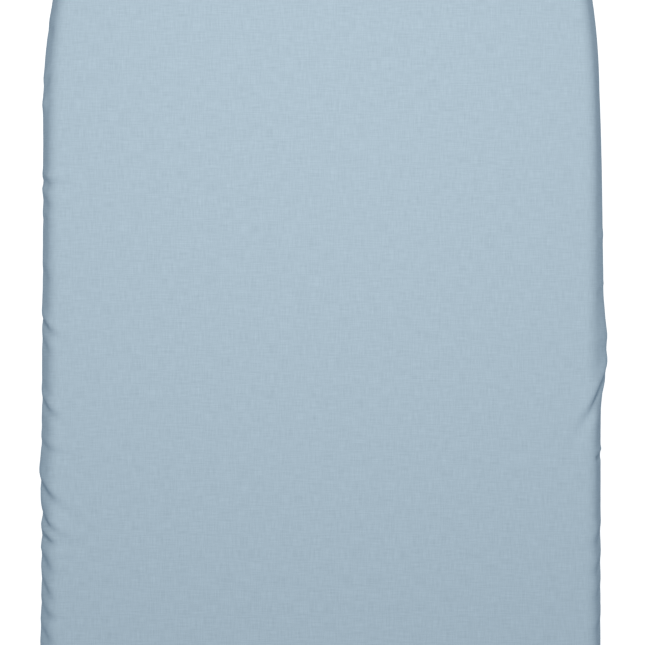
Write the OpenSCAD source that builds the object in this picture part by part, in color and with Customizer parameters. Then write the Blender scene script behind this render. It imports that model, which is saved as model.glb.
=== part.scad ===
// Tabletop shirt board: a padded steel-mesh board under a gathered cotton cover,
// standing on two tube legs that fold flat, with a wire loop to hang it up by.
// Millimetres. +Z is up, the nose points to +Y, and the origin is on the table
// under the middle of the board.

/* [Board] */
// Overall length, tail to nose, over the cover
board_length = 730; // [640:10:880]
// Overall width over the cover
board_width = 320; // [280:5:390]
// Height of the ironing surface above the table
board_height = 130; // [105:5:200]
// Radius of the two tail corners
tail_corner_radius = 55; // [48:1:80]
// Radius of the long curve that starts the taper
shoulder_radius = 1500; // [1200:50:2500]
// Angle that the long curve turns through
shoulder_turn = 2; // [1:0.5:3]
// Radius of the curve that draws the sides in to the nose
nose_radius = 450; // [400:10:600]
// Radius of the nose tip, to within a tenth
nose_tip_radius = 60; // [50:1:80]

/* [Cover and padding] */
// Thickness of the cotton cover
cover_thickness = 0.8; // [0.5:0.1:1.5]
// Radius of the cover's rolled upper edge
roll_radius = 9; // [7:0.5:11]
// How far the cover's hem reaches in under the board
hem_reach = 30; // [24:1:36]
// Width of the casing sewn round the hem
casing_width = 8; // [6:0.5:10]
// Thickness of the casing
casing_height = 3.4; // [2.8:0.1:3.6]
// Width of the elastic in the casing
elastic_width = 5; // [3:0.5:5.5]
// Thickness of the foam pad
foam_thickness = 5; // [3:0.5:8]
// Thickness of the foam where it wraps the rim
foam_wrap = 2.6; // [2:0.1:4]
// Thickness of the felt underlay
felt_thickness = 2.2; // [1.5:0.1:4]

/* [Frame] */
// Diameter of the rim tube
rim_diameter = 12; // [10:0.5:14]
// Wall of the rim tube
rim_wall = 1.2; // [0.8:0.1:1.5]
// Thickness of the sheet-steel deck
deck_thickness = 0.8; // [0.6:0.1:1.5]
// Diameter of a steam vent in the deck
vent_diameter = 16; // [10:0.5:18]
// Distance from one vent to the next
vent_pitch = 26; // [22:0.5:34]
// Plain border left round the deck, outside the vents
deck_border = 12; // [8:1:20]
// Width of a cross rail
rail_width = 26; // [24:1:32]
// Depth of a cross rail
rail_depth = 10; // [8:0.5:14]
// Sheet thickness of the rails
rail_wall = 1.2; // [1:0.1:2]

/* [Legs] */
// Diameter of the leg tube
leg_diameter = 12; // [10:0.5:14]
// Wall of the leg tube
leg_wall = 1.2; // [1:0.1:1.6]
// Distance between the front leg's two tubes
front_leg_span = 150; // [120:5:154]
// Distance between the rear leg's two tubes
rear_leg_span = 220; // [150:5:222]
// Distance of the front leg's pivots from the nose end of the board
front_pivot_from_nose = 170; // [165:5:200]
// Distance of the rear leg's pivots from the tail end of the board
rear_pivot_from_tail = 110; // [100:5:145]
// Outward lean of an open leg
leg_splay = 12; // [6:1:16]
// Inner radius of a leg's two bends
bend_radius = 20; // [16:1:26]
// Length of one foot along the leg's cross tube
foot_length = 22; // [16:1:28]
// Thickness of a foot's rubber sole
sole_thickness = 2; // [1.5:0.5:3]

/* [Pivots] */
// Sheet thickness of the leg brackets
bracket_wall = 1.5; // [1.2:0.1:2]
// Diameter of a pivot pin
pivot_pin_diameter = 6; // [5:0.25:6.5]
// Running clearance, on the radius
running_clearance = 0.05; // [0.03:0.01:0.08]
// Wall of the nylon bush
bush_wall = 1.1; // [0.9:0.1:1.2]
// How far a bush stands out of the leg tube on each side
bush_stand = 0.9; // [0.6:0.1:1.5]

/* [Hanging loop] */
// Diameter of the wire
wire_diameter = 5; // [4:0.5:6]
// Width of the loop
loop_width = 40; // [34:1:54]
// Length of the loop from its pivot
loop_length = 78; // [70:1:90]

/* [Hidden] */
$fn = 96;
arc_step = 2.5;      // degrees between the corners of a flat sheet's outline
eps = 0.01;
gap = 0.3;           // between curved faces that lie against each other

half_length = board_length / 2;
half_width = board_width / 2;
front_pivot_y = half_length - front_pivot_from_nose;
rear_pivot_y = half_length - rear_pivot_from_tail;   // measured towards -Y
leg_radius = leg_diameter / 2;
pin_radius = pivot_pin_diameter / 2;
wire_radius = wire_diameter / 2;

// Heights, from the ironing surface down.
foam_top = board_height - cover_thickness;
felt_top = foam_top - foam_thickness;
deck_top = felt_top - felt_thickness;
deck_bottom = deck_top - deck_thickness;
rail_bottom = deck_bottom - rail_depth;
rim_z = deck_bottom - rim_diameter / 2;
rim_bottom = deck_bottom - rim_diameter;
hem_top = rim_bottom - gap;
hem_bottom = hem_top - cover_thickness;

// Distances in from the cover's outline.
foam_inset = cover_thickness + gap;
rim_inset = foam_inset + foam_wrap + gap + rim_diameter / 2;
rim_inner_inset = rim_inset + rim_diameter / 2;
felt_inset = foam_inset + foam_wrap;
casing_inner_inset = hem_reach + casing_width;
deck_inset = rim_inset - 2;                     // the deck lies on the tube, just past its crest

// The outline's arcs, tangent to each other, for the right-hand half. The nose's turn is
// a round number of degrees, so the tip's radius follows from it.
tail_corner = [half_width - tail_corner_radius, tail_corner_radius - half_length];
nose_centre_x = half_width - shoulder_radius
  + (shoulder_radius - nose_radius) * cos(shoulder_turn);
nose_turn = round(100 * acos(-nose_centre_x / (nose_radius - nose_tip_radius))) / 100;
tip_radius = nose_radius + nose_centre_x / cos(nose_turn);
tip_centre = [0, half_length - tip_radius];
nose_centre = [nose_centre_x, tip_centre.y - (nose_radius - tip_radius) * sin(nose_turn)];
shoulder_centre = [
  half_width - shoulder_radius,
  nose_centre.y - (shoulder_radius - nose_radius) * sin(shoulder_turn)
];

function arc_points(centre, radius, from, to) =
  let (steps = max(2, ceil(abs(to - from) / arc_step)))
  [for (i = [0 : steps])
    let (a = from + (to - from) * i / steps)
    centre + radius * [cos(a), sin(a)]];

function right_half(inset) = concat(
  arc_points(tail_corner, tail_corner_radius - inset, -90, 0),
  arc_points(shoulder_centre, shoulder_radius - inset, 0, shoulder_turn),
  arc_points(nose_centre, nose_radius - inset, shoulder_turn + 1, nose_turn),
  arc_points(tip_centre, tip_radius - inset, nose_turn + 2, 90)
);

function mirrored(points) = [for (i = [len(points) - 2 : -1 : 0]) [-points[i].x, points[i].y]];

function outline(inset) = concat(right_half(inset), mirrored(right_half(inset)));

// Whether a point lies inside the outline, inset.
function is_inside(x, y, inset) =
  abs(x) < half_width - inset
    && y > inset - half_length
    && (y > tail_corner.y || abs(x) < tail_corner.x
      || norm([abs(x), y] - tail_corner) < tail_corner_radius - inset)
    && (y < shoulder_centre.y || norm([abs(x), y] - shoulder_centre) < shoulder_radius - inset)
    && (y < nose_centre.y || norm([abs(x), y] - nose_centre) < nose_radius - inset)
    && (y < tip_centre.y + (tip_radius - inset) * sin(nose_turn)
      || norm([x, y] - tip_centre) < tip_radius - inset);

module sheet(inset, bottom, top) {
  translate([0, 0, bottom])
    linear_extrude(top - bottom)
      polygon(outline(inset));
}

// Moves by whole millimetres, then thousandths, then what is left, so that neighbouring
// curves meet exactly even where each number is kept to six figures.
module place(p) {
  whole = [round(p.x), round(p.y)];
  thousandths = [round(1000 * (p - whole).x), round(1000 * (p - whole).y)] / 1000;
  rest = p - whole - thousandths;
  translate([whole.x, whole.y])
    translate([thousandths.x, thousandths.y])
      translate([rest.x, rest.y])
        children();
}

// Carries a flat profile, drawn as [distance in from the outline, height], round one arc.
module round_arc(centre, radius, from, to) {
  place(centre)
    rotate_extrude(start = from, angle = to - from)
      place([radius, 0])
        mirror([1, 0])
          children();
}

// Carries a flat profile along a straight that starts at a point.
module along_line(start, turn, length) {
  place(start)
    rotate([90, 0, turn])
      linear_extrude(length)
        mirror([1, 0])
          children();
}

// Carries a flat profile all the way round the board. Each long side is two straights
// of whole length, one from each end, that run into each other in the middle.
module round_board() {
  side_length = ceil((shoulder_centre.y - tail_corner.y) / 2) + 1;
  for (side = [0, 1])
    mirror([side, 0, 0]) {
      round_arc(tail_corner, tail_corner_radius, -90, 0) children();
      mirror([0, 1, 0]) along_line([half_width, -tail_corner.y], 0, side_length) children();
      along_line([half_width, shoulder_centre.y], 0, side_length) children();
      round_arc(shoulder_centre, shoulder_radius, 0, shoulder_turn) children();
      round_arc(nose_centre, nose_radius, shoulder_turn, nose_turn) children();
    }
  round_arc(tip_centre, tip_radius, nose_turn, 180 - nose_turn) children();
  along_line([tail_corner.x, -half_length], -90, 2 * tail_corner.x) children();
}

// A flat band with its two outer corners rounded.
module rolled_band(inset, reach, bottom, top, lower_radius, upper_radius) {
  translate([inset + upper_radius, top - upper_radius]) circle(upper_radius);
  translate([inset + lower_radius, bottom + lower_radius]) circle(lower_radius);
  translate([inset, bottom + lower_radius])
    square([reach - inset, top - upper_radius - bottom - lower_radius]);
  translate([inset + upper_radius, top - upper_radius])
    square([reach - inset - upper_radius, upper_radius]);
  translate([inset + lower_radius, bottom])
    square([reach - inset - lower_radius, lower_radius]);
}

// ---- Cover ----

lower_roll_radius = 6;

module cover() {
  color("lightsteelblue") {
    round_board()
      difference() {
        rolled_band(0, hem_reach, hem_bottom, board_height, lower_roll_radius, roll_radius);
        rolled_band(cover_thickness, hem_reach + 1, hem_top, foam_top,
          lower_roll_radius - cover_thickness, roll_radius - cover_thickness);
      }
    sheet(hem_reach - 5, foam_top, board_height);
  }
}

// The casing is folded from the cover's own edge, so its middle lies level with the hem.
casing_top = min(rail_bottom - 0.2, hem_bottom + casing_height / 2);
casing_bottom = casing_top - casing_height;
casing_wall = 0.8;

module hem_casing() {
  color("lightsteelblue")
    round_board()
      difference() {
        translate([hem_reach, casing_bottom]) square([casing_width, casing_height]);
        translate([hem_reach + casing_wall, casing_bottom + casing_wall])
          square([casing_width - 2 * casing_wall, casing_height - 2 * casing_wall]);
      }
}

elastic_height = 1;

module hem_elastic() {
  color("white")
    round_board()
      translate([
        hem_reach + (casing_width - elastic_width) / 2,
        casing_bottom + (casing_height - elastic_height) / 2
      ])
        square([elastic_width, elastic_height]);
}

label_size = [24, 16, 0.4];
label_y = -60;

module care_label() {
  color("white")
    translate([casing_inner_inset - half_width, label_y, casing_bottom])
      cube([label_size.x, label_size.y, label_size.z]);
}

// ---- Padding ----

module foam_pad() {
  color("ivory") {
    round_board()
      difference() {
        union() {
          translate([foam_inset + roll_radius - foam_inset, foam_top - roll_radius + foam_inset])
            circle(roll_radius - foam_inset);
          translate([foam_inset, rim_z])
            square([roll_radius, foam_top - roll_radius + foam_inset - rim_z]);
          translate([roll_radius, felt_top]) square([hem_reach - roll_radius, foam_thickness]);
        }
        translate([felt_inset, rim_z - 5]) square([hem_reach, felt_top - rim_z + 5]);
        translate([foam_inset - 1, rim_z - 10]) square([hem_reach, 10]);
      }
    sheet(hem_reach - 5, felt_top, foam_top);
  }
}

module felt_underlay() {
  color("silver") sheet(felt_inset + gap, deck_top, felt_top);
}

// ---- Frame ----

module rim_tube() {
  color("gainsboro")
    round_board()
      translate([rim_inset, rim_z])
        difference() {
          circle(rim_diameter / 2);
          circle(rim_diameter / 2 - rim_wall);
        }
}

vent_row_pitch = vent_pitch * sqrt(3) / 2;
vent_rows = ceil(half_length / vent_row_pitch);
vent_columns = ceil(half_width / vent_pitch);

// Staggered rows of round vents, as far out as the plain border.
module vented_deck() {
  color("lightgrey")
    translate([0, 0, deck_bottom])
      linear_extrude(deck_thickness)
        difference() {
          polygon(outline(deck_inset));
          for (row = [-vent_rows : vent_rows], column = [-vent_columns : vent_columns])
            let (x = (column + (abs(row) % 2) / 2) * vent_pitch, y = row * vent_row_pitch)
              if (is_inside(x, y, deck_inset + deck_border + vent_diameter / 2))
                translate([x, y]) circle(d = vent_diameter, $fn = 32);
        }
}

module channel(length, width) {
  difference() {
    translate([-length / 2, -width / 2, rail_bottom]) cube([length, width, rail_depth]);
    translate([-length / 2 - 1, rail_wall - width / 2, rail_bottom + rail_wall])
      cube([length + 2, width - 2 * rail_wall, rail_depth]);
  }
}

// A cross rail runs from one side of the rim to the other, cut to the rim's line.
module cross_rail(y) {
  color("gainsboro")
    difference() {
      intersection() {
        translate([0, y, 0]) channel(board_width, rail_width);
        sheet(rim_inner_inset, rail_bottom - 1, deck_bottom + 1);
      }
      rivet_holes(concat(bracket_rivet_places, clip_rivet_places));
    }
}

// ---- Leg geometry ----

foot_wall = 2.6;
foot_half = leg_radius + foot_wall;
crossbar_z = foot_half + sole_thickness;
bracket_drop = 10;                              // from the bracket's flange to the pivot
pivot_z = rail_bottom - bracket_wall - bracket_drop;
leg_length = (pivot_z - crossbar_z) / cos(leg_splay);
front_clip_y = front_pivot_y - leg_length;
rear_clip_y = rear_pivot_y - leg_length;

module front_clip_rail() { cross_rail(front_clip_y); }
module front_pivot_rail() { cross_rail(front_pivot_y); }
module rear_clip_rail() { cross_rail(-rear_clip_y); }
module rear_pivot_rail() { cross_rail(-rear_pivot_y); }

tail_rail_rear = rim_inner_inset - half_length;
tail_rail_front = -rear_pivot_y - rail_width / 2;

// Runs from the rim's tail to the rear pivot rail.
module tail_rail() {
  color("gainsboro")
    difference() {
      translate([0, (tail_rail_rear + tail_rail_front) / 2, 0])
        rotate([0, 0, 90])
          channel(tail_rail_front - tail_rail_rear, rail_width);
      rivet_holes(saddle_rivet_places);
    }
}

// ---- Leg brackets: a flange, two ears and a stop for the open leg ----

ear_inner = leg_radius + bush_stand + 0.3;
ear_outer = ear_inner + bracket_wall;
flange_length = 24;
stop_near = 11;          // where the stop starts, measured down the leg from its pivot
stop_length = 10;
stop_gap = 0.1;
ear_radius = 8;

// Drawn for a leg that leans towards +Y, with the pivot at the origin.
module leg_bracket() {
  flange_bottom = bracket_drop;
  difference() {
    union() {
      translate([-ear_outer, -flange_length / 2, flange_bottom])
        cube([2 * ear_outer, flange_length, bracket_wall]);
      for (side = [0, 1])
        mirror([side, 0, 0]) {
          translate([ear_inner, -ear_radius, 0])
            cube([bracket_wall, 2 * ear_radius, flange_bottom + bracket_wall / 2]);
          translate([ear_inner, 0, 0])
            rotate([0, 90, 0]) cylinder(r = ear_radius, h = bracket_wall);
          rotate([leg_splay, 0, 0])
            translate([ear_inner, -ear_radius / 2, -stop_near - stop_length])
              cube([bracket_wall,
                ear_radius / 2 + leg_radius + stop_gap + bracket_wall,
                stop_near + stop_length]);
        }
      rotate([leg_splay, 0, 0])
        translate([-ear_outer, leg_radius + stop_gap, -stop_near - stop_length])
          cube([2 * ear_outer, bracket_wall, stop_length]);
    }
    translate([-ear_outer - 1, 0, 0])
      rotate([0, 90, 0])
        cylinder(r = pin_radius + running_clearance, h = 2 * ear_outer + 2);
    for (end = [-1, 1])
      translate([0, end * rivet_offset, flange_bottom - 1])
        cylinder(r = rivet_radius + eps, h = bracket_wall + 2);
  }
}

// Puts its children at both pivots of a leg: the front one leans to +Y, the rear one to -Y.
module at_pivots(span, y, rear) {
  for (side = [-1, 1])
    translate([side * span / 2, rear ? -y : y, pivot_z])
      rotate([0, 0, rear ? 180 : 0])
        children();
}

module front_leg_brackets() {
  color("silver") at_pivots(front_leg_span, front_pivot_y, false) leg_bracket();
}
module rear_leg_brackets() {
  color("silver") at_pivots(rear_leg_span, rear_pivot_y, true) leg_bracket();
}

// ---- Rivets ----

saddle_base = 2;
saddle_y = casing_inner_inset + 18 - half_length;

rivet_radius = 1.6;
rivet_offset = 8.4;
rivet_head_radius = 2.8;
rivet_head_height = 0.9;

// A rivet that holds a plate of this thickness up against a rail's flat underside.
module rivet(plate) {
  top = rail_bottom + rail_wall;
  bottom = rail_bottom - plate;
  translate([0, 0, bottom - eps])
    cylinder(r = rivet_radius, h = top - bottom + 2 * eps);
  translate([0, 0, top]) cylinder(r = rivet_head_radius, h = rivet_head_height);
  translate([0, 0, bottom - rivet_head_height])
    cylinder(r = rivet_head_radius, h = rivet_head_height);
}

module rivet_holes(places) {
  for (p = places)
    translate([p.x, p.y, rail_bottom - 1])
      cylinder(r = rivet_radius + eps, h = rail_wall + 2);
}

bracket_rivet_places = [
  for (side = [-1, 1], end = [-1, 1], leg = [0, 1])
    [side * (leg == 0 ? front_leg_span : rear_leg_span) / 2,
      (leg == 0 ? front_pivot_y : -rear_pivot_y) + end * rivet_offset]
];
clip_rivet_offset = 14;
clip_rivet_places = [
  for (side = [-1, 1], y = [front_clip_y, -rear_clip_y]) [side * clip_rivet_offset, y]
];
saddle_rivet_offset = 11;
saddle_rivet_places = [
  for (end = [-1, 1]) [0, saddle_y + end * saddle_rivet_offset]
];

module bracket_rivets() {
  color("silver")
    for (p = bracket_rivet_places)
      translate([p.x, p.y, 0]) rivet(bracket_wall);
}

module clip_rivets() {
  color("silver")
    for (p = clip_rivet_places)
      translate([p.x, p.y, 0]) rivet(clip_base);
}

module saddle_rivets() {
  color("silver")
    for (p = saddle_rivet_places)
      translate([p.x, p.y, 0]) rivet(saddle_base);
}

// ---- Pivot pins ----

pin_head_radius = 5;
pin_head_height = 1.6;

module pivot_pin() {
  length = 2 * ear_outer + 0.2;
  rotate([0, 90, 0]) {
    cylinder(r = pin_radius, h = length, center = true);
    for (side = [0, 1])
      mirror([0, 0, side])
        translate([0, 0, length / 2 - 0.1]) cylinder(r = pin_head_radius, h = pin_head_height);
  }
}

module front_pivot_pins() {
  color("silver") at_pivots(front_leg_span, front_pivot_y, false) pivot_pin();
}
module rear_pivot_pins() {
  color("silver") at_pivots(rear_leg_span, rear_pivot_y, true) pivot_pin();
}

// ---- Leg clips: a cradle under a rail for the folded leg's cross tube ----

clip_base = 2;
clip_arm = 2;
clip_width = 16;
clip_plate = [38, 20];
clip_arm_drop = 5;       // how far an arm reaches past the middle of the folded tube
clip_side_gap = 0.25;
clip_swing_gap = 0.9;    // the tube arrives on an arc, so the pivot side stands off more

// Drawn for a leg whose pivot lies towards +Y, with the folded tube's middle at the origin.
module leg_clip() {
  plate_top = rail_bottom - pivot_z;
  arm_top = plate_top - clip_base / 2;
  difference() {
    union() {
      translate([-clip_plate.x / 2, -clip_plate.y / 2, plate_top - clip_base])
        cube([clip_plate.x, clip_plate.y, clip_base]);
      translate([-clip_width / 2, -leg_radius - clip_side_gap - clip_arm, -clip_arm_drop])
        cube([clip_width, clip_arm, arm_top + clip_arm_drop]);
      translate([-clip_width / 2, leg_radius + clip_swing_gap, -clip_arm_drop])
        cube([clip_width, clip_arm, arm_top + clip_arm_drop]);
    }
    for (side = [-1, 1])
      translate([side * clip_rivet_offset, 0, plate_top - clip_base - 1])
        cylinder(r = rivet_radius + eps, h = clip_base + 2);
  }
}

module front_leg_clip() {
  color("dimgray") translate([0, front_clip_y, pivot_z]) leg_clip();
}
module rear_leg_clip() {
  color("dimgray") translate([0, -rear_clip_y, pivot_z]) rotate([0, 0, 180]) leg_clip();
}

// ---- Legs: a tube bent to a U, with a bush in each upper end ----

tube_end = 6.5;          // how far the tube runs past its pivot
bend_middle = bend_radius + leg_radius;

// The U's path filled at one radius, with the pivots at z = 0 and the leg hanging down.
module leg_path(span, radius, over) {
  straight = leg_length - bend_middle;
  for (side = [0, 1])
    mirror([side, 0, 0]) {
      translate([span / 2, 0, -straight])
        cylinder(r = radius, h = straight + tube_end + over);
      translate([span / 2 - bend_middle, 0, -straight])
        rotate([-90, 0, 0])
          rotate_extrude(angle = 90)
            translate([bend_middle, 0]) circle(radius);
    }
  translate([0, 0, -leg_length])
    rotate([0, 90, 0]) cylinder(r = radius, h = span - 2 * bend_middle, center = true);
}

module leg_tube(span) {
  color("gainsboro")
    difference() {
      leg_path(span, leg_radius, 0);
      leg_path(span, leg_radius - leg_wall, 1);
      for (side = [-1, 1])
        translate([side * span / 2, 0, 0])
          rotate([0, 90, 0])
            cylinder(r = pin_radius + running_clearance + bush_wall + eps,
              h = leg_diameter + 2, center = true);
    }
}

module leg_bush() {
  color("white")
    rotate([0, 90, 0])
      difference() {
        cylinder(r = pin_radius + running_clearance + bush_wall,
          h = leg_diameter + 2 * bush_stand, center = true);
        cylinder(r = pin_radius + running_clearance, h = leg_diameter + 10, center = true);
      }
}

module front_leg_place() {
  translate([0, front_pivot_y, pivot_z]) rotate([leg_splay, 0, 0]) children();
}
module rear_leg_place() {
  translate([0, -rear_pivot_y, pivot_z]) rotate([-leg_splay, 0, 0]) children();
}

module front_leg_tube() { front_leg_place() leg_tube(front_leg_span); }
module rear_leg_tube() { rear_leg_place() leg_tube(rear_leg_span); }
module front_leg_bushes() { at_pivots(front_leg_span, front_pivot_y, false) leg_bush(); }
module rear_leg_bushes() { at_pivots(rear_leg_span, rear_pivot_y, true) leg_bush(); }

// ---- Feet: a split clip on the cross tube, with a rubber sole that lies flat when open ----

foot_slit = 2;
foot_tube_clearance = 0.02;

// Puts its children on the table under both ends of a leg's cross tube.
module at_feet(span, y, rear) {
  reach = y + leg_length * sin(leg_splay);
  for (side = [-1, 1])
    translate([
      side * (span / 2 - bend_middle - foot_length / 2 - 1),
      rear ? -reach : reach,
      0
    ])
      children();
}

module foot() {
  color("dimgray")
    translate([-foot_length / 2, 0, crossbar_z])
      rotate([0, 90, 0])
        difference() {
          union() {
            cylinder(r = foot_half, h = foot_length);
            translate([0, -foot_half, 0]) cube([foot_half, 2 * foot_half, foot_length]);
          }
          translate([0, 0, -1])
            cylinder(r = leg_radius + foot_tube_clearance, h = foot_length + 2);
          translate([-2 * foot_half, -foot_slit / 2, -1])
            cube([2 * foot_half, foot_slit, foot_length + 2]);
        }
}

module sole() {
  color("black")
    translate([-foot_length / 2, -foot_half, 0])
      cube([foot_length, 2 * foot_half, sole_thickness]);
}

module front_feet() { at_feet(front_leg_span, front_pivot_y, false) foot(); }
module rear_feet() { at_feet(rear_leg_span, rear_pivot_y, true) foot(); }
module front_foot_soles() { at_feet(front_leg_span, front_pivot_y, false) sole(); }
module rear_foot_soles() { at_feet(rear_leg_span, rear_pivot_y, true) sole(); }

// ---- Hanging loop and the saddle that it turns in ----

saddle_boss = [16, 10];
loop_z = min(casing_bottom, rail_bottom - saddle_base) - wire_radius - 1;
loop_bend = 6;
wire_gap = 1;

module loop_saddle() {
  plate_bottom = rail_bottom - saddle_base;
  boss_bottom = loop_z - wire_radius - 2;
  color("dimgray")
    translate([0, saddle_y, 0])
      difference() {
        union() {
          translate([-10, -saddle_rivet_offset - 5, plate_bottom])
            cube([20, 2 * saddle_rivet_offset + 10, saddle_base]);
          translate([-saddle_boss.x / 2, -saddle_boss.y / 2, loop_z])
            cube([saddle_boss.x, saddle_boss.y, plate_bottom - loop_z + saddle_base / 2]);
          translate([-saddle_boss.x / 2, 0, loop_z])
            rotate([0, 90, 0]) cylinder(r = saddle_boss.y / 2, h = saddle_boss.x);
        }
        translate([-saddle_boss.x, 0, loop_z])
          rotate([0, 90, 0])
            cylinder(r = wire_radius + running_clearance, h = 2 * saddle_boss.x);
        for (end = [-1, 1])
          translate([0, end * saddle_rivet_offset, plate_bottom - 1])
            cylinder(r = rivet_radius + eps, h = saddle_base + 2);
      }
}

// The wire's two ends meet inside the saddle. Stowed, the loop lies under the tail rail.
module hanging_loop() {
  half = loop_width / 2 - wire_radius;
  color("silver")
    translate([0, saddle_y, loop_z])
      for (side = [0, 1])
        mirror([side, 0, 0]) {
          translate([wire_gap / 2, 0, 0])
            rotate([0, 90, 0]) cylinder(r = wire_radius, h = half - loop_bend - wire_gap / 2);
          translate([half - loop_bend, loop_bend, 0])
            rotate([0, 0, -90])
              rotate_extrude(angle = 90) translate([loop_bend, 0]) circle(wire_radius);
          translate([half, loop_bend, 0])
            rotate([-90, 0, 0])
              cylinder(r = wire_radius, h = loop_length - half - loop_bend - wire_radius);
          translate([0, loop_length - half - wire_radius, 0])
            rotate_extrude(angle = 90) translate([half, 0]) circle(wire_radius);
        }
}

// ---- Every node, one at a time or together ----

cover();
hem_casing();
hem_elastic();
care_label();
foam_pad();
felt_underlay();
vented_deck();
rim_tube();
front_pivot_rail();
front_clip_rail();
rear_clip_rail();
rear_pivot_rail();
tail_rail();
front_leg_brackets();
rear_leg_brackets();
bracket_rivets();
front_pivot_pins();
rear_pivot_pins();
front_leg_clip();
rear_leg_clip();
clip_rivets();
loop_saddle();
saddle_rivets();
front_leg_tube();
front_leg_bushes();
front_feet();
front_foot_soles();
rear_leg_tube();
rear_leg_bushes();
rear_feet();
rear_foot_soles();
hanging_loop();
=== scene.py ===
import math

import bmesh
import bpy
import numpy as np
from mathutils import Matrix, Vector


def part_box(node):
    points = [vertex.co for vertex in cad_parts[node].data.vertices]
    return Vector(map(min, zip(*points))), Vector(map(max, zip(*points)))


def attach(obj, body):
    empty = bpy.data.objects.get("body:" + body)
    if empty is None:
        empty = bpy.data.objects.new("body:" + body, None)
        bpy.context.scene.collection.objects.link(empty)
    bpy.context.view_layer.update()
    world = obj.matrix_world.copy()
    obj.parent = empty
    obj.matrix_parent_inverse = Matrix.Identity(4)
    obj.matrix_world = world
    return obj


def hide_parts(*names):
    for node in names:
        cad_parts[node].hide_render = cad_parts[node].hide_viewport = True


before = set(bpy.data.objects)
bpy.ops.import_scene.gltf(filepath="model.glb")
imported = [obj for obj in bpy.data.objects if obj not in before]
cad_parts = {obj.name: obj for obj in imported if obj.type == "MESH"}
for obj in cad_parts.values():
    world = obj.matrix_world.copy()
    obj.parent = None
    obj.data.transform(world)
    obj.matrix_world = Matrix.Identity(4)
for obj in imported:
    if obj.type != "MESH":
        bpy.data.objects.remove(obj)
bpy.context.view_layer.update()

# ---- Steel frame ----
# A bent tube round the board, four channels across it, one more at the tail, and two
# U-bent legs. All are mild steel, welded and then powder coated in light grey, which
# leaves a fine orange peel on the skin.


class Wire:
    """A socket. Sums written with it add the Math nodes that work them out."""

    def __init__(self, net, socket):
        self.net, self.socket = net, socket

    def maths(self, operation, *others):
        inputs = dict(enumerate((self, *others)))
        return self.net.node("ShaderNodeMath", {"operation": operation}, inputs)

    def __add__(self, other):
        return self.maths("ADD", other)

    def __sub__(self, other):
        return self.maths("SUBTRACT", other)

    def __rsub__(self, other):
        return self * -1 + other

    def __mul__(self, other):
        return self.maths("MULTIPLY", other)

    __radd__, __rmul__ = __add__, __mul__


class Net:
    """The node tree of a finish or of a repeated shape, while it is being made."""

    def __init__(self, tree):
        self.tree = tree

    def node(self, kind, settings=(), inputs=(), give=0):
        made = self.tree.nodes.new(kind)
        for key, value in dict(settings).items():
            if key == "stops":
                ramp = made.color_ramp.elements
                for stop, (place, colour) in zip((ramp[0], ramp[1]), value):
                    stop.position, stop.color = place, colour
                for place, colour in value[2:]:
                    ramp.new(place).color = colour
            else:
                setattr(made, key, value)
        for key, value in dict(inputs).items():
            if isinstance(value, Wire):
                self.tree.links.new(value.socket, made.inputs[key])
            else:
                made.inputs[key].default_value = value
        return Wire(self, made.outputs[give])

    def vector(self, x=0.0, y=0.0, z=0.0):
        return self.node("ShaderNodeCombineXYZ", (), {0: x, 1: y, 2: z})

    def axes(self, vector):
        split = self.node("ShaderNodeSeparateXYZ", (), {0: vector}).socket.node
        return [Wire(self, split.outputs[i]) for i in range(3)]

    def noise(self, vector, scale=1.0, detail=2.0, roughness=0.5):
        inputs = {"Vector": vector, "Scale": scale, "Detail": detail, "Roughness": roughness}
        return self.node("ShaderNodeTexNoise", (), inputs)

    def mix(self, share, first, second):
        settings = {"data_type": "RGBA"}
        return self.node("ShaderNodeMix", settings, {0: share, 6: first, 7: second}, give=2)

    def bump(self, height, depth, strength=1.0):
        inputs = {"Height": height, "Distance": depth, "Strength": strength}
        return self.node("ShaderNodeBump", (), inputs)


class Finish(Net):
    """A material. What is the same all over it is set on the shader's own sockets."""

    def __init__(self, name, **same):
        self.material = bpy.data.materials.new(name)
        self.material.use_nodes = True
        super().__init__(self.material.node_tree)
        self.shader = self.tree.nodes["Principled BSDF"]
        for key, value in same.items():
            self.shader.inputs[key.replace("_", " ")].default_value = value

    def place(self):
        return self.node("ShaderNodeTexCoord", give="Object")

    def feed(self, socket, wire):
        self.tree.links.new(wire.socket, self.shader.inputs[socket])

    def on(self, *names):
        for name in names:
            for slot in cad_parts[name].material_slots:
                slot.material = self.material


def rgb(red, green, blue):
    return (red, green, blue, 1.0)


def powder_coat(name, light, dark, roughness):
    """Baked-on powder coat: orange peel under a millimetre across, and a little cloudy."""
    coat = Finish(name, Metallic=0.0)
    place = coat.place()
    cloud = coat.noise(place, scale=22.0, detail=4.0)
    coat.feed("Base Color", coat.mix(cloud, light, dark))
    coat.feed("Roughness", cloud * 0.18 + (roughness - 0.09))
    peel = coat.noise(place, scale=1400.0, detail=1.0)
    coat.feed("Normal", coat.bump(peel, 0.00006, 0.5))
    coat.shader.inputs["Coat Weight"].default_value = 0.15
    return coat


frame_coat = powder_coat("frame_coat", rgb(0.55, 0.57, 0.59), rgb(0.46, 0.48, 0.50), 0.42)
frame_coat.on("rim_tube", "front_pivot_rail", "front_clip_rail", "rear_clip_rail")
frame_coat.on("rear_pivot_rail", "tail_rail")

leg_coat = powder_coat("leg_coat", rgb(0.58, 0.60, 0.62), rgb(0.49, 0.51, 0.53), 0.34)
leg_coat.on("front_leg_tube", "rear_leg_tube")

# ---- Vented deck ----
# Sheet steel with staggered punched vents that let the steam out, coated like the frame
# but thinner, so a little of the rolled grain shows through.

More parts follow.
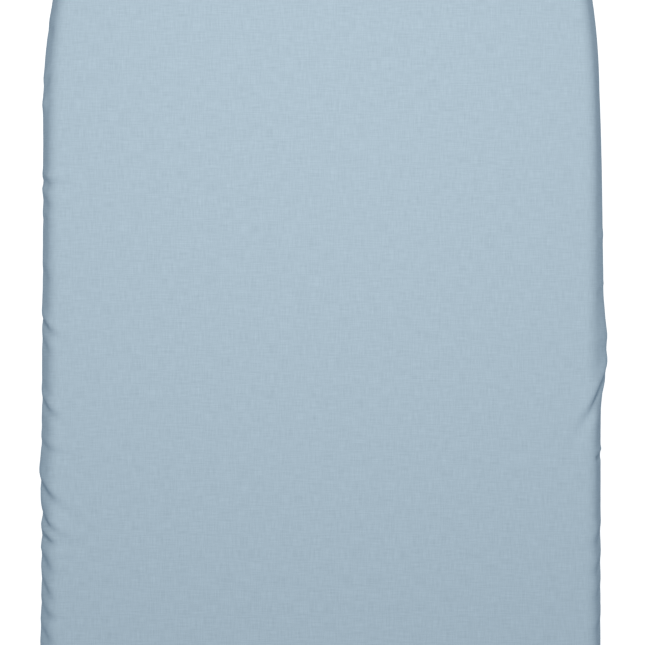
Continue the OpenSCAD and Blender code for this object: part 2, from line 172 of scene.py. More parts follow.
deck_coat = Finish("deck_coat", Metallic=0.0)
deck_place = deck_coat.place()
deck_x, deck_y, deck_z = deck_coat.axes(deck_place)
grain = deck_coat.noise(deck_coat.vector(deck_x * 60.0, deck_y * 1400.0, deck_z), detail=2.0)
deck_cloud = deck_coat.noise(deck_place, scale=14.0, detail=4.0)
deck_coat.feed(
    "Base Color",
    deck_coat.mix(deck_cloud * 0.7 + grain * 0.3, rgb(0.60, 0.62, 0.63), rgb(0.47, 0.49, 0.51)),
)
deck_coat.feed("Roughness", grain * 0.2 + 0.34)
deck_coat.feed("Normal", deck_coat.bump(grain, 0.00005, 0.4))
deck_coat.on("vented_deck")

# ---- The board's outline ----
# The rim, the padding and the cover all follow one outline: straight sides, a tail with
# rounded corners, and a nose drawn in by a long shoulder curve, a tighter one and a tip.

tail_corner_radius = 0.055
shoulder_radius = 1.5
shoulder_turn = math.radians(2)
nose_radius = 0.45
nose_tip_radius = 0.06
cover_low, cover_high = (Vector(corner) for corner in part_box("cover"))
half_width, board_top = cover_high.x, cover_high.z
half_length = (cover_high.y - cover_low.y) / 2
# The felt, the foam and the cover share their stations round the outline, so they nest.
edge_stations = 820


class Outline:
    """Evenly spaced stations, anticlockwise seen from above, from the tail's middle."""

    def __init__(self, count):
        corner = np.array([half_width - tail_corner_radius, tail_corner_radius - half_length])
        nose_x = half_width - shoulder_radius
        nose_x += (shoulder_radius - nose_radius) * math.cos(shoulder_turn)
        nose_turn = math.acos(-nose_x / (nose_radius - nose_tip_radius))
        tip = np.array([0.0, half_length - nose_tip_radius])
        nose_y = tip[1] - (nose_radius - nose_tip_radius) * math.sin(nose_turn)
        nose = np.array([nose_x, nose_y])
        shoulder_y = nose_y - (shoulder_radius - nose_radius) * math.sin(shoulder_turn)
        shoulder = np.array([half_width - shoulder_radius, shoulder_y])
        quarter = math.pi / 2
        # A curve is given by its centre, radius and two angles, and a straight by its two
        # ends and the angle that it faces.
        stretches = [
            ((0.0, -half_length), (corner[0], -half_length), -quarter),
            (corner, tail_corner_radius, -quarter, 0.0),
            ((half_width, corner[1]), (half_width, shoulder_y), 0.0),
            (shoulder, shoulder_radius, 0.0, shoulder_turn),
            (nose, nose_radius, shoulder_turn, nose_turn),
            (tip, nose_tip_radius, nose_turn, quarter),
        ]
        lengths = [
            math.dist(a[0], a[1]) if len(a) == 3 else a[1] * (a[3] - a[2]) for a in stretches
        ]
        ends = np.concatenate([[0.0], np.cumsum(lengths)])
        self.length = 2 * ends[-1]
        self.count = count
        self.along = np.arange(count) * self.length / count
        mirrored = self.along > ends[-1]
        along = np.where(mirrored, self.length - self.along, self.along)
        self.at = np.zeros((count, 2))
        self.out = np.zeros((count, 2))
        for stretch, length, start in zip(stretches, lengths, ends):
            here = (along >= start) & (along <= start + length)
            share = ((along[here] - start) / length)[:, None]
            if len(stretch) == 3:
                first, last, facing = stretch
                self.at[here] = np.array(first) * (1 - share) + np.array(last) * share
                self.out[here] = [math.cos(facing), math.sin(facing)]
            else:
                centre, radius, first, last = stretch
                angle = first + (last - first) * share[:, 0]
                self.out[here] = np.stack([np.cos(angle), np.sin(angle)], axis=1)
                self.at[here] = centre + radius * self.out[here]
        side = np.where(mirrored, -1.0, 1.0)
        self.at[:, 0] *= side
        self.out[:, 0] *= side

    def ring(self, inset, height):
        """One loop of points, inset from the outline. Both may vary along the loop."""
        level = np.broadcast_to(height, (self.count,))
        inset = np.broadcast_to(inset, (self.count,))[:, None]
        return np.column_stack([self.at - self.out * inset, level])

    def middle(self, ring, rows, height):
        """Loops that carry a ring in to the board's centre line, where they close up."""
        low = 0.75 * half_width - half_length
        high = half_length - 0.45 * half_width
        spine = np.zeros_like(ring)
        spine[:, 1] = np.clip(ring[:, 1], low, high)
        spine[:, 2] = height
        shares = np.linspace(0, 1, rows + 1)[1:]
        return [ring * (1 - share) + spine * share for share in shares]


def loft(name, rings, closed=False):
    """A mesh of quads between neighbouring rings. The first ring lies innermost on top."""
    rows, count = len(rings), len(rings[0])
    points = np.concatenate(rings)
    here = np.arange(count)
    after = np.roll(here, -1)
    faces = []
    for row in range(rows if closed else rows - 1):
        upper, lower = row * count, (row + 1) % rows * count
        faces.append(np.stack([upper + here, lower + here, lower + after, upper + after], axis=1))
    mesh = bpy.data.meshes.new(name)
    mesh.from_pydata(points.tolist(), [], np.concatenate(faces).tolist())
    mesh.polygons.foreach_set("use_smooth", [True] * len(mesh.polygons))
    piece = bpy.data.objects.new(name, mesh)
    bpy.context.collection.objects.link(piece)
    return piece


def cut_coordinates(piece, flat):
    """Stores where each point lay in the flat cloth, in metres, as the piece's UV map."""
    mesh = piece.data
    layer = mesh.uv_layers.new(name="flat_cut")
    corners = np.empty(len(mesh.loops), dtype=np.int32)
    mesh.loops.foreach_get("vertex_index", corners)
    layer.data.foreach_set("uv", np.asarray(flat)[corners].ravel())


def close_up(piece):
    """Merges the points that meet on the centre line and turns the faces outwards."""
    shape = bmesh.new()
    shape.from_mesh(piece.data)
    bmesh.ops.remove_doubles(shape, verts=shape.verts, dist=0.00001)
    bmesh.ops.recalc_face_normals(shape, faces=shape.faces)
    shape.to_mesh(piece.data)
    shape.free()


# ---- Felt underlay ----
# A needled grey felt that lies on the deck and keeps the vents' edges from marking the
# cloth. The cover squeezes its edge thin. Its fibres show from below through the vents.

felt_low, felt_high = (Vector(corner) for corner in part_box("felt_underlay"))
felt_inset = half_width - felt_high.x
felt_line = Outline(edge_stations)
felt_top, felt_bottom = felt_high.z, felt_low.z + 0.0001
felt_edge = [
    (felt_inset + 0.0093, felt_top), (felt_inset + 0.0053, felt_top - 0.0002),
    (felt_inset + 0.0028, felt_top - 0.0010), (felt_inset + 0.0014, felt_bottom + 0.0004),
]
pad_insets = (0.024, 0.050)     # where the pad's rings lie on its flat, next to the edge
felt_profile = [(inset, felt_top) for inset in pad_insets[::-1]] + felt_edge
felt_profile += [(felt_inset + 0.0015, felt_bottom)]
felt_profile += [(inset, felt_bottom) for inset in pad_insets]
felt_rings = [felt_line.ring(inset, height) for inset, height in felt_profile]
felt_rings = (
    felt_line.middle(felt_rings[0], 8, felt_top)[::-1]
    + felt_rings
    + felt_line.middle(felt_rings[-1], 8, felt_bottom)
)
felt = loft("felt_sheet", felt_rings)
close_up(felt)

felt_finish = Finish("needled_felt", Roughness=0.97, Specular_IOR_Level=0.1)
felt_place = felt_finish.place()
fibre_bend = felt_finish.noise(felt_place, scale=260.0, detail=3.0)
fibres = felt_finish.noise(felt_place, scale=2600.0, detail=4.0, roughness=0.7)
felt_finish.feed(
    "Base Color",
    felt_finish.mix(
        fibres * 0.6 + fibre_bend * 0.4, rgb(0.40, 0.39, 0.36), rgb(0.70, 0.69, 0.65)
    ),
)
felt_finish.feed("Normal", felt_finish.bump(fibres + fibre_bend, 0.0003, 0.8))
felt.data.materials.append(felt_finish.material)
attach(felt, "board")
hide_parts("felt_underlay")

# ---- Cover ----
# Pale blue cotton chambray with slubs in both directions, cut flat to the outline and
# then drawn under the board by an elastic in its hem. The spare cloth gathers: folds
# underneath, puckers on the side wall, and creases that run in over the top edge.

hem_inset = 0.031
hem_height = cover_low.z + 0.0004
cover_line = Outline(edge_stations)

# The cloth's path over the edge, as the angle that it has turned through after each
# stretch: a round shoulder, the slanting side of the squeezed foam, the upright wall at
# the rim and the roll under it.
shoulder_roll, side_run, side_turn, under_roll = 0.0078, 0.009, 0.002, 0.006
shoulder_angle, side_angle = math.radians(62), math.radians(70)
path_runs = [0.0, shoulder_angle * shoulder_roll, side_run, side_turn]
path_angles = [0.0, shoulder_angle, side_angle, math.pi / 2]
path_stations, roll_stations = 240, 60
path = np.linspace(0, sum(path_runs), path_stations)
angles = np.interp(path, np.cumsum(path_runs), path_angles)
step = path[1] - path[0]
insets = np.concatenate([[0.0], -np.cumsum(np.cos((angles[1:] + angles[:-1]) / 2)) * step])
drops = np.concatenate([[0.0], np.cumsum(np.sin((angles[1:] + angles[:-1]) / 2)) * step])
roll_across = -insets[-1]
quarter = np.linspace(0, math.pi / 2, roll_stations)
flat_from = 0.080     # how far in from the outline the profile starts, on the flat
profile_insets = np.concatenate([
    [flat_from], insets + roll_across, under_roll * (1 - np.cos(quarter)), [hem_inset],
])
profile_heights = np.concatenate([
    [board_top], board_top - drops, hem_height + under_roll * (1 - np.sin(quarter)),
    [hem_height],
])
profile_steps = np.hypot(np.diff(profile_insets), np.diff(profile_heights))
profile_reaches = np.concatenate([[0.0], np.cumsum(profile_steps)]) + roll_across - flat_from
wall_start, under_start = profile_reaches[path_stations], profile_reaches[path_stations + 1]
return_start, cloth_reach = profile_reaches[-2:]


def cover_profile(reach):
    """Where the cloth lies at a distance past the start of its top roll: how far in from
    the outline, how high, and its outward direction across and up."""
    inset, height = (
        np.interp(reach, profile_reaches, table) for table in (profile_insets, profile_heights)
    )
    nearby = reach - 0.0004, reach + 0.0004
    further_in = np.interp(nearby, profile_reaches, profile_insets)
    lower = np.interp(nearby, profile_reaches, profile_heights)
    across, up = lower[0] - lower[1], further_in[0] - further_in[1]
    size = math.hypot(across, up)
    return inset, height, across / size, up / size


def ease(low, high, value):
    """0 at low and before, 1 at high and past it, and an S-curve between them."""
    share = np.clip((value - low) / (high - low), 0, 1)
    return share * share * (3 - 2 * share)


def wander(chance, along, length, waves, size):
    """A smooth random line that closes on itself: a sum of long waves round the board."""
    total = np.zeros_like(along)
    for wave in range(1, waves + 1):
        start = chance.uniform(0, 2 * math.pi)
        weight = chance.normal() / math.sqrt(waves)
        total += weight * np.sin(2 * math.pi * wave * along / length + start)
    return size * total


# Creases that come up over the edge. Each is the side it is on (-1 is left, seen with the
# nose away), its place along the board where it crosses the wall, its depth (below zero
# for a puff that stands out), its width, how far it runs up the cloth from the wall, all
# in millimetres, and how far it slants towards the tail for each millimetre that it runs.
creases = [
    (-1, 95, 0.7, 3.2, 15, 0.2), (-1, 62, 1.0, 2.8, 16, -0.4), (-1, 52, -1.7, 3.0, 12, 0.0),
    (-1, 12, -0.6, 1.8, 36, 0.10), (-1, 8, 1.2, 2.4, 33, 0.15), (-1, 4, -1.2, 2.0, 10, 0.0),
    (-1, -3, 0.8, 3.2, 21, 0.3), (-1, -14, 0.8, 2.2, 12, 0.0), (-1, -44, 0.7, 4.4, 22, 0.4),
    (-1, -65, -0.5, 3.6, 20, 0.4),
    (-1, -70, 1.4, 2.5, 28, 0.6), (-1, -82, 0.75, 2.8, 21, 0.6), (-1, -106, 0.4, 2.6, 18, 0.6),
    (-1, -116, 1.5, 3.0, 30, 0.6), (-1, -141, 1.1, 2.2, 34, 0.3), (-1, -155, -0.8, 6.0, 22, 0.2),
    (-1, -163, 1.7, 3.4, 32, 0.7), (-1, -176, 0.7, 2.4, 20, 0.6), (-1, -181, 1.8, 2.7, 33, 0.65),
    (-1, -190, 0.6, 2.0, 24, 0.6), (-1, -194, 1.7, 2.7, 30, 0.25), (-1, -201, -0.7, 1.6, 34, 0.1),
    (-1, -205, 1.1, 3.6, 24, 0.6), (-1, -218, 1.0, 3.4, 22, 0.8), (-1, -233, 0.8, 2.6, 23, 0.5),
    (-1, -239, 0.6, 2.0, 31, 0.1), (-1, -246, 0.9, 3.2, 24, 0.6),
    (1, -22, -0.9, 2.4, 10, 0.0), (1, -53, 0.7, 1.6, 14, 0.2), (1, -101, 2.2, 5.4, 34, 1.4),
    (1, -124, -0.4, 5.0, 22, 0.3), (1, -148, 2.4, 1.5, 15, 0.1), (1, -192, 0.8, 3.8, 24, 0.5),
    (1, -209, 0.7, 3.4, 22, 0.4), (1, -223, 0.6, 3.0, 20, 0.5), (1, -243, 0.6, 3.4, 20, 0.4),
]
creased_from, creased_to = -0.262, 0.115     # the stretch of the sides that the list covers

place_along = cover_line.at[:, 1]
listed = ease(creased_from - 0.02, creased_from, place_along)
listed *= 1 - ease(creased_to, creased_to + 0.02, place_along)

# The rest of the edge, round the tail and the nose, has creases of the same kind at uneven
# steps: the place along the outline, and then depth, width, run and slant as above.
crease_chance = np.random.default_rng(23)
end_creases = []
crease_place = 4.0
while crease_place < cover_line.length * 1000 - 8:
    shallow, narrow, short, lean = crease_chance.uniform(size=4)
    end_creases.append(
        (crease_place, 0.5 + 1.0 * shallow, 2.4 + 1.4 * narrow, 17 + 14 * short, lean - 0.5)
    )
    crease_place += crease_chance.uniform(9, 24)

# How far the padding stands out past its plain outline, in millimetres, at places along
# the left side and the right: hand-stretched cloth holds it in unevenly.
left_swell = [
    (-260, 1.5), (-246, 1.4), (-232, 0.8), (-200, 0.9), (-180, 0.6), (-168, 1.5), (-154, 1.5),
    (-138, 0.7), (-100, 0.5), (-60, 0.3), (-30, 0.0), (30, 0.0), (48, 0.5), (64, 0.8), (92, 0.4),
    (115, 0.0),
]
right_swell = [
    (-260, -0.9), (-122, -0.8), (-113, 0.2), (-105, 2.3), (-96, 2.9), (-88, 2.2), (-80, 3.1),
    (-70, 1.9),
    (-58, 0.9), (-30, 0.5), (0, 0.1), (28, -0.3), (60, -0.6), (90, 0.0), (115, 0.2),
]


ridge_height, ridge_place, ridge_width = 0.68, 1.7, 1.1     # as shares of its valley's
depth_on_wall, deepest_from = 0.3, 7     # a share, and millimetres up the cloth


def pressed_in(apart, depth, run, climbed):
    """How far one crease presses the cloth. Beside its valley, on the nose side, the cloth
    that it takes stands up in a rounded ridge. It is shallow on the wall, at its deepest
    a few millimetres up the cloth, and gone where its run ends."""
    if depth > 0:
        shape = np.exp(-(np.abs(apart) ** 1.7))
        shape -= ridge_height * np.exp(-(((apart - ridge_place) / ridge_width) ** 2))
    else:
        shape = np.exp(-(apart**2))
    up_wall = depth_on_wall + (1 - depth_on_wall) * ease(0, deepest_from, climbed)
    fade = ease(0, 1, (1 - climbed / run) * 1.5) * up_wall
    return depth * shape * fade


def crease_field(line, reach):
    """How far in the creases press the cloth, for one ring of it."""
    left = line.at[:, 0] < 0
    place = line.at[:, 1] * 1000
    press = np.zeros(line.count)
    climbed = max(0.0, wall_start - reach) * 1000
    below = ease(under_start, return_start + 0.004, reach)
    for where, centre, depth, width, run, slant in creases:
        apart = (place - centre + slant * climbed) / width
        crease = pressed_in(apart, depth, run, climbed)
        press += np.where(left == (where < 0), crease * (1 - below) * listed, 0)
    for centre, depth, width, run, slant in end_creases:
        apart = (line.along * 1000 - centre + slant * climbed) / width
        press += pressed_in(apart, depth, run, climbed) * (1 - below) * (1 - listed)
    for here, table in ((left, left_swell), (~left, right_swell)):
        swell = np.interp(place, *zip(*table), left=0, right=0)
        press -= np.where(here, swell * ease(0.004, wall_start, reach) * (1 - below), 0)
    return press / 1000


gather_chance = np.random.default_rng(17)
gather_pitch = 0.0125
gather_count = round(cover_line.length / gather_pitch)
gather_phase = wander(gather_chance, cover_line.along, cover_line.length, 60, 2.6)
second_phase = wander(gather_chance, cover_line.along, cover_line.length, 60, 2.2)
gather_size = 1 + wander(gather_chance, cover_line.along, cover_line.length, 50, 0.30)
gather_deepest = 0.0034     # how far the deepest fold stands out from the cloth's path
gather_lean = 0.35     # radians for each 10 mm that a fold runs down
puff_on_wall, fold_bluntness = 0.00075, 0.8
left_or_right = cover_line.at[:, 0]
calm = np.where(left_or_right > 0, 0.22, 0.45) * (1 - 0.6 * ease(-0.06, 0.02, place_along))
wall_share = 1.4 * (1 - listed) + calm * listed
round_share = wall_share * (0.55 + 0.45 * (1 - ease(0.5, 0.9, np.abs(cover_line.out[:, 0]))))


def gather_field(line, reach):
    """How far the gathered cloth stands out, for one ring: sharp valleys with rounded
    puffs between them. It hangs free under the board and is eased in at the casing."""
    turns = 2 * math.pi * line.along / line.length
    lean = gather_lean * (reach - under_start) / 0.010
    first = np.abs(np.sin(turns * gather_count / 2 + gather_phase + lean))
    second = np.abs(np.sin(turns * gather_count * 0.37 + second_phase - lean))
    first, second = first**fold_bluntness, second**fold_bluntness
    puffs = (0.68 * first + 0.32 * second) * 1.3
    on_wall = (puffs - 0.8) * puff_on_wall * ease(0.006, wall_start + 0.002, reach) * round_share
    folds = 0.85 * first + 0.15 * second
    hanging = ease(under_start, return_start + 0.009, reach)
    to_casing = 1 - 0.7 * ease(cloth_reach - 0.008, cloth_reach, reach)
    below = gather_deepest * np.tanh(1.3 * folds * gather_size) * to_casing
    return on_wall * (1 - hanging) + below * hanging


def cover_ring(reach, stand):
    """One ring of the cloth, standing out from its plain path."""
    inset, height, across, up = cover_profile(reach)
    ring = cover_line.ring(inset, height)
    ring[:, :2] += cover_line.out * (stand * across)[:, None]
    ring[:, 2] += stand * up
    return ring


reaches = [-0.041, -0.031, -0.023, -0.0165, -0.012, -0.0085, -0.006, -0.0038, -0.0018]
reaches += list(np.linspace(0, cloth_reach, 42))
skirt_from = 7     # the rows before this one lie still on the pad
stands = [gather_field(cover_line, reach) - crease_field(cover_line, reach) for reach in reaches]
cover_rings = [cover_ring(reach, stand) for reach, stand in zip(reaches, stands)]


def settle(rings, slack, held, frames):
    """Cloth simulation of a ring-shaped skirt. It starts a little squeezed, as gathered
    cloth is, and finds its own folds between the rows that are held. It is done at ten
    times the size, where the solver's steps suit folds this small."""
    scale = 10.0
    skirt = loft("skirt_trial", [ring * scale for ring in rings])
    rows, count = len(rings), len(rings[0])
    pinned = skirt.vertex_groups.new(name="held")
    loose = skirt.vertex_groups.new(name="slack")
    for row in range(rows):
        here = list(range(row * count, (row + 1) * count))
        pinned.add(here, float(held[row]), "REPLACE")
        loose.add(here, float(slack[row]), "REPLACE")
    cloth = skirt.modifiers.new("cloth", "CLOTH")
    cloth.point_cache.frame_end = frames
    cloth.collision_settings.use_collision = False
    fabric = cloth.settings
    fabric.quality, fabric.mass, fabric.air_damping = 5, 0.3, 1.0
    fabric.tension_stiffness = fabric.compression_stiffness = 15
    fabric.shear_stiffness, fabric.bending_stiffness = 4.5, 0.5
    fabric.tension_damping = fabric.compression_damping = fabric.shear_damping = 0.5
    fabric.effector_weights.gravity = 0
    fabric.vertex_group_mass, fabric.vertex_group_shrink = "held", "slack"
    fabric.shrink_min, fabric.shrink_max = 0.0, -0.10
    for frame_number in range(1, frames + 1):
        bpy.context.scene.frame_set(frame_number)
    settled = skirt.evaluated_get(bpy.context.evaluated_depsgraph_get()).data
    points = np.empty(rows * count * 3)
    settled.vertices.foreach_get("co", points)
    bpy.data.objects.remove(skirt)
    bpy.context.scene.frame_set(1)
    return points.reshape(rows, count, 3) / scale


skirt_reaches = np.array(reaches[skirt_from:])
slack = 0.15 * ease(0.010, wall_start, skirt_reaches)
slack += 0.85 * ease(under_start, return_start + 0.006, skirt_reaches)
held = 1 - ease(0.0, 0.004, skirt_reaches)
held = np.maximum(held, ease(cloth_reach - 0.004, cloth_reach - 0.002, skirt_reaches))
settled = settle(cover_rings[skirt_from:], slack, held, 6)
# The simulation moves the cloth a little everywhere and further where it hangs in
# folds, but hardly sinks it into the padding.
least_move, fold_move, fold_slide = 0.0003, 0.003, 0.0014
least_sink, wall_sink = 0.0001, 0.0006
for row, reach in enumerate(reaches[skirt_from:], skirt_from):
    inset, height, across, up = cover_profile(reach)
    facing = np.column_stack([cover_line.out * across, np.full(cover_line.count, up)])
    moved = settled[row - skirt_from] - cover_rings[row]
    stood = (moved * facing).sum(axis=1)
    sideways = moved - facing * stood[:, None]
    size = np.linalg.norm(sideways, axis=1) + 1e-9
    room = ease(under_start - 0.002, return_start + 0.006, reach)
    sideways *= (np.minimum(size, least_move + fold_slide * room) / size)[:, None]
    lowest = np.minimum(stands[row], -least_sink - wall_sink * (1 - room))
    limit = np.maximum(stands[row], gather_deepest)
    most = least_move + fold_move * room
    stood = np.clip(stood, -most, most)
    stood = np.clip(stands[row] + stood, lowest, limit) - stands[row]
    cover_rings[row] = cover_rings[row] + sideways + facing * stood[:, None]

middle_rings = cover_line.middle(cover_rings[0], 6, board_top)[::-1]
flat_rings = [ring[:, :2] for ring in middle_rings]
flat_rings += [cover_line.at + cover_line.out * (reach - roll_across) for reach in reaches]
cover = loft("chambray_cover", middle_rings + cover_rings)
cut_coordinates(cover, np.concatenate(flat_rings))
close_up(cover)

cloth_wall = cover.modifiers.new("cloth_thickness", "SOLIDIFY")
cloth_wall.thickness = 0.0005
cloth_wall.offset = -1

chambray = Finish("chambray", Roughness=0.92, Specular_IOR_Level=0.08, Sheen_Weight=0.02)
chambray.shader.inputs["Sheen Roughness"].default_value = 0.6
cut = chambray.node("ShaderNodeUVMap", {"uv_map": "flat_cut"})
across_cloth, along_cloth, _ = chambray.axes(cut)
warp = chambray.noise(chambray.vector(across_cloth * 1700.0, along_cloth * 130.0), detail=2.0)
weft = chambray.noise(chambray.vector(across_cloth * 120.0, along_cloth * 1700.0), detail=2.0)
slub_warp = chambray.noise(chambray.vector(across_cloth * 620.0, along_cloth * 90.0, 4.0))
slub_weft = chambray.noise(chambray.vector(across_cloth * 80.0, along_cloth * 620.0, 9.0))
tone = (warp + weft) * 0.40 + (slub_warp + slub_weft) * 0.10
chambray.feed(
    "Base Color",
    chambray.node(
        "ShaderNodeValToRGB",
        {"stops": [(0.24, rgb(0.374, 0.474, 0.546)), (0.76, rgb(0.522, 0.644, 0.732))]},
        {0: tone},
    ),
)
yarn_pitch = 0.00045
yarn_turns = math.pi / yarn_pitch
sway = (warp - 0.5) * 0.9
weave = (across_cloth * yarn_turns + sway).maths("SINE")
weave = weave * (along_cloth * yarn_turns + sway).maths("SINE")
chambray.feed("Normal", chambray.bump(weave * 0.25 + (warp + weft) * 0.5, 0.00010, 0.5))
cover.data.materials.append(chambray.material)
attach(cover, "board")
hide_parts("cover")
flat_edge = cover_line.at + cover_line.out * (cloth_reach - roll_across)
flat_next = np.roll(flat_edge, -1, axis=0)
flat_area = 0.5 * abs((flat_edge[:, 0] * flat_next[:, 1] - flat_next[:, 0] * flat_edge[:, 1]).sum())
flat_size = flat_edge.max(axis=0) - flat_edge.min(axis=0)

# ---- Foam pad ----
# Open-cell foam, crowned a little in the middle, whose edge is wrapped down over the rim
# and glued there. It gives the cover its soft rolled edge.

foam_low, foam_high = (Vector(corner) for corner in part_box("foam_pad"))
foam_line = Outline(edge_stations)
foam_under_cloth, foam_thinnest = 0.0014, 0.0004
foam_floor = felt_top + 0.0001
foam_inner = [(felt_inset - 0.0002, foam_low.z + 0.0006), (felt_inset + 0.0010, felt_bottom)]
foam_inner += [(inset - 0.0002, height + 0.0001) for inset, height in felt_edge[::-1]]
foam_inner += [(inset, foam_floor) for inset in pad_insets]
inner_insets, inner_heights = zip(*foam_inner[:-1])
foam_rings = []
for reach in [-0.040, -0.020, -0.012, -0.007, -0.003, *np.linspace(0, wall_start, 20)]:
    inset, height, across, up = cover_profile(reach)
    if height < foam_low.z + 0.0016:
        break
    pressed = foam_under_cloth + np.maximum(crease_field(foam_line, reach), 0)
    inner = np.interp(height, inner_heights, inner_insets) if up < 0.6 else 1.0
    pressed_inset = np.minimum(inset + pressed * across, inner - foam_thinnest)
    foam_rings.append(foam_line.ring(pressed_inset, height - pressed * up))
foam_rings.append(foam_line.ring(felt_inset - 0.0004, foam_low.z))
foam_rings += [foam_line.ring(inset, height) for inset, height in foam_inner]
foam_rings = (
    foam_line.middle(foam_rings[0], 9, foam_high.z)[::-1]
    + foam_rings
    + foam_line.middle(foam_rings[-1], 9, foam_floor)
)
foam = loft("foam_slab", foam_rings)
close_up(foam)

foam_finish = Finish("open_cell_foam", Roughness=0.95, Specular_IOR_Level=0.15)
foam_place = foam_finish.place()
cells = foam_finish.node(
    "ShaderNodeTexVoronoi", {"feature": "F1"}, {"Vector": foam_place, "Scale": 900.0}
)
foam_tone = foam_finish.noise(foam_place, scale=30.0, detail=3.0)
foam_finish.feed(
    "Base Color",
    foam_finish.mix(cells * 0.7 + foam_tone * 0.3, rgb(0.62, 0.55, 0.36), rgb(0.88, 0.83, 0.66)),
)
foam_finish.feed("Normal", foam_finish.bump(cells, 0.0004, 0.7))
foam.data.materials.append(foam_finish.material)
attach(foam, "board")
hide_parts("foam_pad")

# ---- Hem casing ----
# The cover's own edge, folded twice into a channel and stitched down with two rows. The
# elastic inside draws it up into ruffles, and it dips with the gathers next to it.

casing_low, casing_high = (Vector(corner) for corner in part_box("hem_casing"))
casing_outer = half_width - casing_high.x
casing_width, casing_girth = 0.008, 0.0225
squareness = 3.2     # 2 would make the channel's section round
ruffle_pitch = 0.0155
casing_centre = casing_outer + casing_width / 2
casing_middle = (casing_low.z + casing_high.z) / 2
casing_half = (casing_width / 2, (casing_high.z - casing_low.z) / 2)
casing_line = Outline(900)
ruffle_turns = 2 * math.pi * casing_line.along / casing_line.length
ruffle_phase = wander(gather_chance, casing_line.along, casing_line.length, 70, 3.0)
ruffle_count = round(casing_line.length / ruffle_pitch)
ruffles = np.abs(np.sin(ruffle_turns * ruffle_count + ruffle_phase))
sag = np.interp(casing_line.along, cover_line.along, gather_field(cover_line, cloth_reach))


def casing_ring(angle, lift=0.0):
    """One line along the casing, at an angle round its section; 0 is the top. It puffs up
    between the gathers, where the elastic has drawn two folds together."""
    level, inward = math.cos(angle), math.sin(angle)
    blunt = (abs(level) ** squareness + abs(inward) ** squareness) ** (-1 / squareness)
    puff = 0.78 + 0.62 * ruffles * (1 - 0.35 * abs(inward) * blunt)
    inset = casing_centre - (casing_half[0] * blunt * (0.96 + 0.08 * ruffles) + lift) * inward
    height = casing_middle + (casing_half[1] * blunt * puff + lift) * level
    return casing_line.ring(inset, height - 0.6 * sag)


casing_rings, casing_flat = [], []
casing_steps = 20
for step in range(casing_steps):
    casing_rings.append(casing_ring(2 * math.pi * step / casing_steps))
    around = np.full(casing_line.count, casing_girth * step / casing_steps)
    casing_flat.append(np.stack([casing_line.along, around], axis=1))
casing = loft("ruffled_casing", casing_rings, closed=True)
cut_coordinates(casing, np.concatenate(casing_flat))
close_up(casing)
casing.data.materials.append(chambray.material)
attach(casing, "board")
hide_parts("hem_casing")

# ---- Casing stitches ----
# Two rows of lockstitch in a thread a shade lighter than the cloth hold the casing's fold.
# Each stitch is a short bead of thread that sinks at both ends.


def repeat_tree(name, seed):
    """Nodes that lay rounded beads along the edges of a path, nose to tail or apart."""
    tree = bpy.data.node_groups.new(name, "GeometryNodeTree")
    tree.interface.new_socket("Geometry", in_out="INPUT", socket_type="NodeSocketGeometry")
    for size in ("Spacing", "Bead Length", "Bead Width", "Bead Height", "Unevenness"):
        tree.interface.new_socket(size, in_out="INPUT", socket_type="NodeSocketFloat")
    tree.interface.new_socket("Finish", in_out="INPUT", socket_type="NodeSocketMaterial")
    tree.interface.new_socket("Geometry", in_out="OUTPUT", socket_type="NodeSocketGeometry")
    net = Net(tree)
    entry = tree.nodes.new("NodeGroupInput")
    given = {socket.name: Wire(net, socket) for socket in entry.outputs if socket.name}
    path = net.node("GeometryNodeMeshToCurve", (), {"Mesh": given["Geometry"]})
    path = net.node(
        "GeometryNodeResampleCurve", {"mode": "LENGTH"},
        {"Curve": path, "Length": given["Spacing"]},
    )
    ball = net.node(
        "GeometryNodeMeshUVSphere", (), {"Segments": 6, "Rings": 4, "Radius": 0.5}
    )
    shape = net.vector(given["Bead Length"], given["Bead Width"], given["Bead Height"])
    ball = net.node("GeometryNodeTransform", (), {"Geometry": ball, "Scale": shape})
    ball = net.node("GeometryNodeSetShadeSmooth", (), {"Geometry": ball})
    along = net.node("GeometryNodeInputTangent")
    turned = net.node("FunctionNodeAlignRotationToVector", {"axis": "X"}, {"Vector": along})
    size = net.node(
        "FunctionNodeRandomValue", {"data_type": "FLOAT"},
        {"Seed": seed, 2: 1 - given["Unevenness"], 3: given["Unevenness"] + 1}, give=1,
    )
    beads = net.node(
        "GeometryNodeInstanceOnPoints", (),
        {"Points": path, "Instance": ball, "Rotation": turned, "Scale": size},
    )
    beads = net.node("GeometryNodeRealizeInstances", (), {"Geometry": beads})
    beads = net.node(
        "GeometryNodeSetMaterial", (), {"Geometry": beads, "Material": given["Finish"]}
    )
    leave = tree.nodes.new("NodeGroupOutput")
    tree.links.new(beads.socket, leave.inputs[0])
    return tree


def repeated(name, tree, points, edges, sizes):
    """The plain mesh that a tree makes of a path, as a piece of its own."""
    path = bpy.data.meshes.new(name + "_path")
    path.from_pydata([list(point) for point in points], edges, [])
    maker = bpy.data.objects.new(name + "_path", path)
    bpy.context.collection.objects.link(maker)
    nodes = maker.modifiers.new("repeat", "NODES")
    nodes.node_group = tree
    for item in tree.interface.items_tree:
        if item.in_out == "INPUT" and item.name in sizes:
            nodes[item.identifier] = sizes[item.name]
    made = maker.evaluated_get(bpy.context.evaluated_depsgraph_get())
    mesh = bpy.data.meshes.new_from_object(made)
    mesh.name = name
    bpy.data.objects.remove(maker)
    piece = bpy.data.objects.new(name, mesh)
    bpy.context.collection.objects.link(piece)
    return piece


